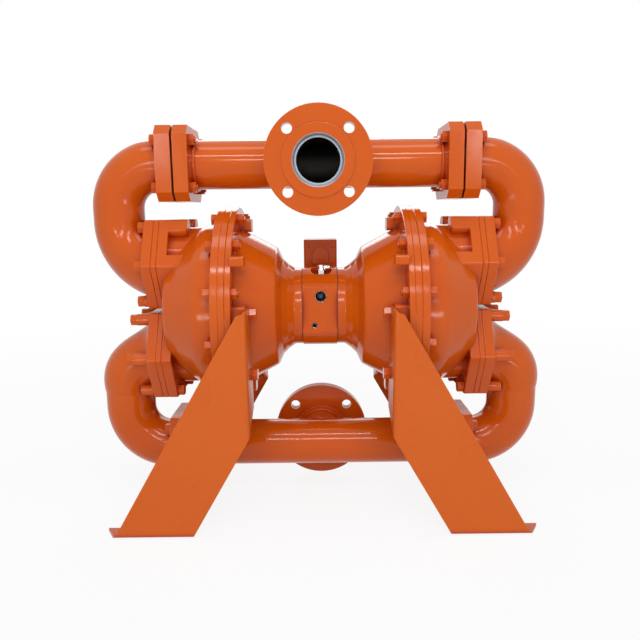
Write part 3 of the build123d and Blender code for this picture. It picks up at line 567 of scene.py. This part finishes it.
@dataclass(frozen=True)
class BareMetal:
    """Turned, drawn or plated metal without paint."""

    name: str
    colour: tuple = (0.42, 0.43, 0.45)
    stain: tuple = (0.27, 0.27, 0.28)
    gloss: tuple = (0.28, 0.42)
    relief: float = 0.00003
    mark_scale: float = 260.0
    edge_radius: float = 0.0005

    def build(self, groups: Groups) -> bpy.types.Material:
        """Makes the material.

        Args:
            groups: The shared groups.

        Returns:
            The finished material.
        """
        recipe = Recipe(self.name)
        marks = recipe.group(groups.lathe, Mark_Scale=self.mark_scale)
        rounding_and_highlight = recipe.group(groups.edges, Radius=self.edge_radius)
        stain = marks.outputs["Stain"]
        bright, worn = self.gloss
        recipe.coat(
            Base_Color=recipe.mix_colour(stain, self.stain, self.colour),
            Roughness=recipe.spread(stain, worn, bright),
            Metallic=1.0,
        )
        recipe.bump(marks.outputs["Height"], self.relief, rounding_and_highlight.outputs["Normal"])
        return recipe.material


@dataclass(frozen=True)
class Elastomer:
    """Moulded rubber or pressed gasket sheet."""

    name: str
    colour: tuple = (0.022, 0.021, 0.020)
    dusty: tuple = (0.045, 0.042, 0.040)
    gloss: tuple = (0.45, 0.7)
    relief: float = 0.00008
    peel_scale: float = 400.0
    grain_share: float = 0.7

    def build(self, groups: Groups) -> bpy.types.Material:
        """Makes the material.

        Args:
            groups: The shared groups.

        Returns:
            The finished material.
        """
        recipe = Recipe(self.name)
        skin = recipe.group(groups.enamel, Peel_Scale=self.peel_scale, Grain_Share=self.grain_share)
        recipe.coat(
            Base_Color=recipe.mix_colour(skin.outputs["Tone"], self.colour, self.dusty),
            Roughness=recipe.spread(skin.outputs["Dull"], *self.gloss),
        )
        recipe.bump(skin.outputs["Height"], self.relief)
        return recipe.material


class Paintbox:
    """Every finish of the pump, and the nodes that wear it."""

    def __init__(self, layout: Layout) -> None:
        """Builds all materials.

        Args:
            layout: Main places of the pump.
        """
        groups = Groups()
        tube = {"relief": 0.00005, "grain_share": 0.15}
        self.cast = Enamel("cast_enamel", relief=0.00011, grain_share=0.45).build(groups)
        self.smooth = Enamel("tube_enamel", **tube).build(groups)
        self.sheet = Enamel(
            "sheet_enamel", colour=(0.61, 0.115, 0.008), shade=(0.59, 0.098, 0.006),
            relief=0.00003, grain_share=0.2, gloss=(0.26, 0.40),
        ).build(groups)
        self.fastener = Enamel("fastener_enamel", relief=0.00003, edge_radius=0.0008).build(groups)
        self.steel = BareMetal("turned_steel").build(groups)
        self.bored = {}
        for header in layout.manifolds:
            # the pipes' inner walls are painted near black as shade; the flanges' bores stay bare grey
            for piece, radius, colour in (("pipe", layout.pipe_bore, PIPE_WALL_SHADE_BLACK),
                                          ("flange", layout.flange_bore, PIPE_END_GREY)):
                bore = Bore(header.z, header.towards.vector.y, radius, colour, layout.branch_end_y)
                finish = Enamel(f"{header.name}_{piece}_enamel", bore=bore, **tube)
                self.bored[f"{header.name}_{piece}"] = finish.build(groups)
        self.plated = BareMetal(
            "plated_fitting", colour=(0.80, 0.80, 0.83), stain=(0.62, 0.63, 0.68),
            gloss=(0.08, 0.2), relief=0.00001,
        ).build(groups)
        self.thread = BareMetal(
            "thread_steel", colour=(0.75, 0.76, 0.78), stain=(0.5, 0.5, 0.52),
            gloss=(0.15, 0.3), relief=0.00001,
        ).build(groups)
        # bare steel darkened as painted shade inside the ports
        self.port_shade_steel = BareMetal(
            "port_wall_shade_steel", colour=(0.10, 0.10, 0.11), stain=(0.04, 0.04, 0.045), gloss=(0.3, 0.5),
        ).build(groups)
        self.bronze = BareMetal(
            "bearing_bronze", colour=(0.55, 0.35, 0.13), stain=(0.38, 0.23, 0.09),
        ).build(groups)
        self.rubber = Elastomer("black_rubber").build(groups)
        self.gasket = Elastomer(
            "pressed_gasket", colour=(0.10, 0.018, 0.012), dusty=(0.16, 0.03, 0.018),
        ).build(groups)

    def finish_of(self, node: str) -> bpy.types.Material:
        """Chooses the finish of a solid by its name.

        Args:
            node: Name of the solid's node.

        Returns:
            The material it wears.
        """
        if node in self.bored:
            return self.bored[node]
        if "diaphragm" in node and node != "diaphragm_rod":
            return self.cast
        if node == "rod_seals" or ("flap" in node and "pins" not in node):
            return self.rubber
        rules = (
            (("bushing",), self.bronze),
            (("gasket",), self.gasket),
            (("breather_fitting",), self.plated),
            (("rod", "spool", "sleeve", "pins", "block_screws", "inner_plate", "outer_plate"), self.steel),
            (("bolts", "nuts", "screws"), self.fastener),
            (("leg",), self.sheet),
            (("end_plate",), self.smooth),
        )
        for words, finish in rules:
            if any(word in node for word in words):
                return finish
        return self.cast

    def dress(self, nodes: dict[str, bpy.types.Object]) -> None:
        """Gives every solid its finish.

        Args:
            nodes: The solids by name.
        """
        for name, solid in nodes.items():
            solid.data.materials.clear()
            solid.data.materials.append(self.finish_of(name))
        log.info("dressed %d solids", len(nodes))


# Mesh work
class Bench:
    """Makes pieces from loose shapes and puts them on the pump."""

    @staticmethod
    def place(bm: bmesh.types.BMesh, name: str, material: bpy.types.Material, body: str = CASING,
              slot: str = "painted_iron") -> bpy.types.Object:
        """Turns a finished shape into a smooth piece that rides on a body.

        Args:
            bm: The shape, in the pump's own frame.
            name: Name of the piece.
            material: Its finish.
            body: Body that carries it.
            slot: Not used.

        Returns:
            The new piece.
        """
        bmesh.ops.remove_doubles(bm, verts=bm.verts, dist=MERGE_DISTANCE)
        bmesh.ops.recalc_face_normals(bm, faces=bm.faces)
        for face in bm.faces:
            face.smooth = True
        mesh = bpy.data.meshes.new(name)
        bm.to_mesh(mesh)
        bm.free()
        mesh.materials.append(material)
        piece = bpy.data.objects.new(name, mesh)
        bpy.context.scene.collection.objects.link(piece)
        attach(piece, body)
        log.info("made %s", name)
        return piece

    @staticmethod
    def aim(bm: bmesh.types.BMesh, verts: list, centre: Vector, axis: Axis) -> None:
        """Turns verts from the upright axis to another one and moves them.

        Args:
            bm: The shape.
            verts: Its vertices, made round the Z axis at the origin.
            centre: Where the origin goes.
            axis: Where Z points afterwards.
        """
        turn = Vector(UPRIGHT).rotation_difference(axis.vector).to_matrix().to_4x4()
        bmesh.ops.transform(bm, matrix=Matrix.Translation(centre) @ turn, verts=verts)

    @staticmethod
    def outline(bm: bmesh.types.BMesh, points: list, closed: bool) -> list:
        """Adds a chain of edges beside the Z axis.

        Args:
            bm: The shape to add to.
            points: Distance from the axis and height of each corner.
            closed: Whether the last corner joins the first.

        Returns:
            The new vertices and edges.
        """
        verts = [bm.verts.new((x, 0, z)) for x, z in points]
        ends = verts[1:] + verts[:1] if closed else verts[1:]
        return verts + [bm.edges.new(pair) for pair in zip(verts, ends)]

    @staticmethod
    def ring(bm: bmesh.types.BMesh, radius: float, section: float, centre: Vector, axis: Axis,
             steps: int, sides: int) -> list:
        """Adds a round bar bent into a ring.

        Args:
            bm: The shape to add to.
            radius: Radius of the ring's middle line.
            section: Radius of the bar.
            centre: Middle of the ring.
            axis: Direction of the ring's axis.
            steps: Divisions round the ring.
            sides: Divisions round the bar.

        Returns:
            The new vertices.
        """
        before = set(bm.verts)
        beside = Matrix.Translation((radius, 0, 0)) @ Matrix.Rotation(FULL_TURN / 4, 4, "X")
        made = bmesh.ops.create_circle(bm, segments=sides, radius=section, matrix=beside)
        edges = list({e for v in made["verts"] for e in v.link_edges})
        bmesh.ops.spin(bm, geom=made["verts"] + edges, cent=ORIGIN, axis=UPRIGHT, angle=FULL_TURN,
                       steps=steps, use_merge=True)
        verts = [v for v in bm.verts if v not in before]
        Bench.aim(bm, verts, centre, axis)
        return verts


@dataclass
class PortThreads:
    """Bright threads, and bare walls inside the tapped ports darkened as painted shade."""

    pitch: float = 0.0018
    depth: float = 0.0009
    flank: float = 0.46             # each side of a ridge, as a share of the pitch
    root: float = 0.0001            # how far a ridge's foot reaches into the wall
    gap: float = 0.00008            # between the solid port and its bare wall
    wall: float = 0.00016
    thread_steps: int = 40
    wall_steps: int = 48

    def thread(self, bm: bmesh.types.BMesh, radius: float, length: float, mouth: Vector,
               axis: Axis) -> None:
        """Adds one helical ridge on the wall of a port.

        Args:
            bm: The shape to add to.
            radius: Radius of the port's wall.
            length: How far the thread runs in.
            mouth: Centre of the port's mouth.
            axis: Direction out of the port.
        """
        foot, reach = radius + self.root, self.pitch * self.flank
        corners = [(foot, -reach), (radius - self.depth, 0.0), (foot, reach)]
        ridge = Bench.outline(bm, corners, closed=True)
        turns = length / self.pitch
        count = int(turns * self.thread_steps)
        bmesh.ops.spin(bm, geom=ridge, cent=ORIGIN, axis=UPRIGHT, angle=FULL_TURN * turns,
                       dvec=(0, 0, -length / count), steps=count)
        ends = [e for e in bm.edges if e.is_boundary]
        bmesh.ops.holes_fill(bm, edges=ends, sides=len(corners) + 1)
        half_pitch_in = mouth - axis.vector * self.pitch / 2
        Bench.aim(bm, list(bm.verts), half_pitch_in, axis)

    def cup(self, bm: bmesh.types.BMesh, radius: float, depth: float, mouth: Vector, axis: Axis) -> None:
        """Adds the unpainted wall and floor of a port, dark as painted shade.

        Args:
            bm: The shape to add to.
            radius: Radius of the port's wall.
            depth: How deep the cup reaches.
            mouth: Centre of the port's mouth.
            axis: Direction out of the port.
        """
        outer = radius - self.gap
        inner = outer - self.wall
        floor = self.wall - depth
        corners = [(0, floor), (inner, floor), (inner, 0), (outer, 0), (outer, -depth), (0, -depth)]
        bmesh.ops.spin(bm, geom=Bench.outline(bm, corners, closed=False), cent=ORIGIN, axis=UPRIGHT,
                       angle=FULL_TURN, steps=self.wall_steps, use_merge=True)
        Bench.aim(bm, list(bm.verts), mouth, axis)

    def build(self, paint: Paintbox, layout: Layout) -> None:
        """Makes the threads and the bare walls of the three tapped ports.

        Args:
            paint: The finishes.
            layout: Main places of the pump.
        """
        for port in layout.ports:
            mouth = Vector(port.mouth)
            bm = bmesh.new()
            self.thread(bm, port.radius - self.gap - self.wall, port.length, mouth, port.axis)
            Bench.place(bm, f"{port.name}_thread", paint.thread, slot="bare_steel")
            bm = bmesh.new()
            self.cup(bm, port.radius, port.length + self.pitch, mouth, port.axis)
            Bench.place(bm, f"{port.name}_wall", paint.port_shade_steel, slot="bare_steel")


@dataclass
class WeldBeads:
    """Rippled welds where the pipes meet their plates and flanges."""

    bead: float = 0.0032
    ripple: float = 0.10            # height of the ripples, as a share of the bead
    ripples: int = 54
    swells: int = 7                 # slower waves of the welder's hand
    swell_share: float = 0.5
    swell_start: float = 1.3
    lift: float = 0.0007            # how far the bead's middle stands off the pipe
    steps: int = 216
    sides: int = 8

    def round_bead(self, bm: bmesh.types.BMesh, radius: float, centre: Vector, axis: Axis) -> list:
        """Adds one ring with the scales of a hand weld.

        Args:
            bm: The shape to add to.
            radius: Radius of the ring's middle line.
            centre: Middle of the ring.
            axis: Direction of its axis, which is level.

        Returns:
            The new vertices.
        """
        verts = Bench.ring(bm, radius, self.bead, centre, axis, self.steps, self.sides)
        along = axis.vector
        side = Vector(UPRIGHT)
        other = along.cross(side)
        for vert in verts:
            out = vert.co - centre
            angle = math.atan2(out.dot(other), out.dot(side))
            radial = (out - along * out.dot(along)).normalized()
            swell = self.swell_share * math.sin(self.swells * angle + self.swell_start)
            vert.co += radial * self.bead * self.ripple * (math.sin(self.ripples * angle) + swell)
        return verts

    def saddle(self, bm: bmesh.types.BMesh, z: float, towards: Axis, radius: float) -> None:
        """Adds the weld between a header pipe and its branch.

        Args:
            bm: The shape to add to.
            z: Height of the header pipe.
            towards: Direction of the branch.
            radius: Radius of both pipes.
        """
        centre = Vector((0, 0, z))
        for vert in self.round_bead(bm, radius, centre, towards):
            out = vert.co - centre
            rise = radius * out.z / math.hypot(out.x, out.z)
            vert.co += towards.vector * math.sqrt(max(radius * radius - rise * rise, 0.0))

    def build(self, paint: Paintbox, layout: Layout) -> None:
        """Makes the welds of both manifolds.

        Args:
            paint: The finishes.
            layout: Main places of the pump.
        """
        radius = layout.pipe_radius + self.lift
        hub_x = layout.end_plate_x - layout.hub_length
        for header in layout.manifolds:
            bm = bmesh.new()
            for sign in (-1, 1):
                self.round_bead(bm, radius, Vector((sign * hub_x, 0, header.z)), Axis.RIGHT)
            centre = Vector((0, 0, header.z)) + header.towards.vector * layout.branch_weld_y
            self.round_bead(bm, radius, centre, header.towards)
            self.saddle(bm, header.z, header.towards, layout.pipe_radius)
            Bench.place(bm, f"{header.name}_pipe_welds", paint.smooth, slot="painted_steel")


@dataclass
class CastButtons:
    """Two small domed buttons high on the front of the air valve."""

    radius: float = 0.0024
    flatness: float = 0.5
    half_gap: float = 0.0247
    height: float = 0.110
    front_y: float = 0.0735
    segments: int = 16
    rings: int = 10

    def build(self, paint: Paintbox, layout: Layout) -> None:
        """Makes both buttons as one piece.

        Args:
            paint: The finishes.
            layout: Main places of the pump.
        """
        bm = bmesh.new()
        for side in (-1, 1):
            centre = Vector((layout.valve_x + side * self.half_gap, self.front_y, layout.rod_z + self.height))
            shape = Matrix.Translation(centre) @ Matrix.Diagonal((1, self.flatness, 1, 1))
            bmesh.ops.create_uvsphere(bm, u_segments=self.segments, v_segments=self.rings,
                                      radius=self.radius, matrix=shape)
        Bench.place(bm, "valve_front_buttons", paint.cast)


# Studio
@dataclass(frozen=True)
class SoftBox:
    """One rectangular lamp: its place, its width and height, and its watts."""

    name: str
    place: tuple
    size: tuple
    power: float


@dataclass
class Studio:
    """Pale floor, soft lamps, white surroundings and the camera."""

    floor_size: float = 24.0
    floor_drop: float = 0.0004      # keeps the floor clear of the feet
    floor_colour: tuple = (0.9, 0.9, 0.9, 1.0)
    floor_roughness: float = 0.8
    floor_share: float = 0.88       # how white the floor is near the pump
    fade: tuple = (0.6, 2.4)        # distances over which it turns to full white
    room_level: float = 0.33        # how strongly the white surroundings light the pump
    middle: tuple = (0.0, 0.0, 0.36)
    boxes: tuple = (
        SoftBox("front_box", (0.0, -3.2, 1.8), (1.3, 0.3), 17.0),
        SoftBox("left_low", (-0.95, -1.6, 0.2), (0.6, 0.1), 2.6),
        SoftBox("right_low", (0.95, -1.6, 0.2), (0.6, 0.1), 2.6),
        SoftBox("left_spark", (-0.95, -2.6, 1.05), (0.14, 0.45), 3.0),
        SoftBox("right_spark", (0.95, -2.6, 1.05), (0.14, 0.45), 3.0),
        SoftBox("key_strip", (0.0, -1.3, 1.75), (1.3, 0.12), 9.0),
        SoftBox("top_box", (0.0, -0.3, 2.4), (2.2, 0.5), 12.0),
        SoftBox("rear_box", (0.0, 2.6, 1.6), (2.4, 0.9), 20.0),
    )
    camera_place: tuple = (0.0, -1.24306, 0.55330)
    pitch_down: float = 10.256
    yaw: float = -0.021
    roll: float = -0.679
    lens: float = 36.277
    sensor: float = 36.0
    shift_up: float = 10.0 / 640.0  # how far the picture is moved up, as a share of its width
    clip: tuple = (0.05, 60.0)

    def build(self) -> None:
        """Makes everything round the pump."""
        self.make_floor()
        self.make_world()
        self.make_lamps()
        self.make_camera()
        bpy.context.scene.view_settings.view_transform = "Standard"

    def make_floor(self) -> None:
        """Makes the pale floor."""
        bm = bmesh.new()
        bmesh.ops.create_grid(bm, x_segments=2, y_segments=2, size=self.floor_size / 2)
        mesh = bpy.data.meshes.new("pale_floor")
        bm.to_mesh(mesh)
        bm.free()
        floor = bpy.data.objects.new("pale_floor", mesh)
        floor.location = (0, 0, -self.floor_drop)
        bpy.context.scene.collection.objects.link(floor)
        floor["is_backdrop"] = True
        recipe = Recipe("pale_floor")
        recipe.coat(Base_Color=self.floor_colour, Roughness=self.floor_roughness)
        near, far = self.fade
        fade = recipe.add("MapRange", {
            "Value": recipe.measure("LENGTH", recipe.place()),
            "From Min": near,
            "From Max": far,
            "To Min": self.floor_share,
        })
        mix = recipe.add("MixShader", {
            "Fac": recipe.calculate("MULTIPLY", self.seen_rays(recipe), fade.outputs["Result"]),
            1: recipe.surface.outputs["BSDF"],
            2: recipe.add("Emission").outputs["Emission"],
        })
        recipe.fill(recipe.tree.nodes["Material Output"], {"Surface": mix.outputs["Shader"]})
        mesh.materials.append(recipe.material)

    def make_world(self) -> None:
        """Makes white surroundings that light the pump softly."""
        world = bpy.data.worlds.new("white_room")
        world.use_nodes = True
        wiring = Wiring(world.node_tree)
        wiring.fill(world.node_tree.nodes["Background"], {
            "Color": (1, 1, 1, 1),
            "Strength": wiring.spread(self.seen_rays(wiring), self.room_level, 1.0),
        })
        bpy.context.scene.world = world

    @staticmethod
    def seen_rays(wiring: Wiring) -> bpy.types.NodeSocket:
        """Marks the rays that see the white surroundings: direct, mirrored and passed on.

        Args:
            wiring: The shader tree to add to.

        Returns:
            A socket that is 1 for those rays.
        """
        rays = wiring.add("LightPath")
        seen = rays.outputs["Is Camera Ray"]
        for label in ("Is Glossy Ray", "Is Transmission Ray"):
            seen = wiring.calculate("MAXIMUM", seen, rays.outputs[label])
        return seen

    def make_lamps(self) -> None:
        """Makes the soft boxes, all turned to the pump's middle."""
        for box in self.boxes:
            data = bpy.data.lights.new(box.name, "AREA")
            data.shape = "RECTANGLE"
            data.size, data.size_y = box.size
            data.energy = box.power
            lamp = bpy.data.objects.new(box.name, data)
            lamp.location = box.place
            lamp.rotation_mode = "QUATERNION"
            lamp.rotation_quaternion = (Vector(self.middle) - Vector(box.place)).to_track_quat("-Z", "Y")
            bpy.context.scene.collection.objects.link(lamp)

    def make_camera(self) -> None:
        """Makes the camera at the photograph's view."""
        data = bpy.data.cameras.new("view")
        data.lens = self.lens
        data.sensor_width = self.sensor
        data.shift_y = self.shift_up
        data.clip_start, data.clip_end = self.clip
        camera = bpy.data.objects.new("view", data)
        pitch, yaw, roll = (math.radians(v) for v in (self.pitch_down, self.yaw, self.roll))
        ahead = Vector((math.sin(yaw) * math.cos(pitch), math.cos(yaw) * math.cos(pitch), -math.sin(pitch)))
        level = Vector((math.cos(yaw), -math.sin(yaw), 0))
        upright = level.cross(ahead)
        right = level * math.cos(roll) + upright * math.sin(roll)
        up = upright * math.cos(roll) - level * math.sin(roll)
        turn = Matrix((right, up, -ahead)).transposed()
        camera.matrix_world = Matrix.Translation(self.camera_place) @ turn.to_4x4()
        bpy.context.scene.collection.objects.link(camera)
        bpy.context.scene.camera = camera


def note_size(label: str, sizes: dict) -> None:
    """Adds the shown object's box to the notes.

    Args:
        label: Name of the note.
        sizes: Notes so far.
    """
    low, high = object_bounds()
    sizes[label] = [list(low), list(high)]


def main() -> None:
    """Builds the scene in order."""
    logging.basicConfig(level=logging.INFO, format="%(message)s")
    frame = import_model()
    sizes: dict = {}
    note_size("solids", sizes)
    layout = Layout()
    Studio().build()
    paint = Paintbox(layout)
    paint.dress(frame["nodes"])
    PortThreads().build(paint, layout)
    WeldBeads().build(paint, layout)
    CastButtons().build(paint, layout)
    note_size("shown", sizes)
    log.info("sizes %s", sizes)


if __name__ == "__main__":
    main()
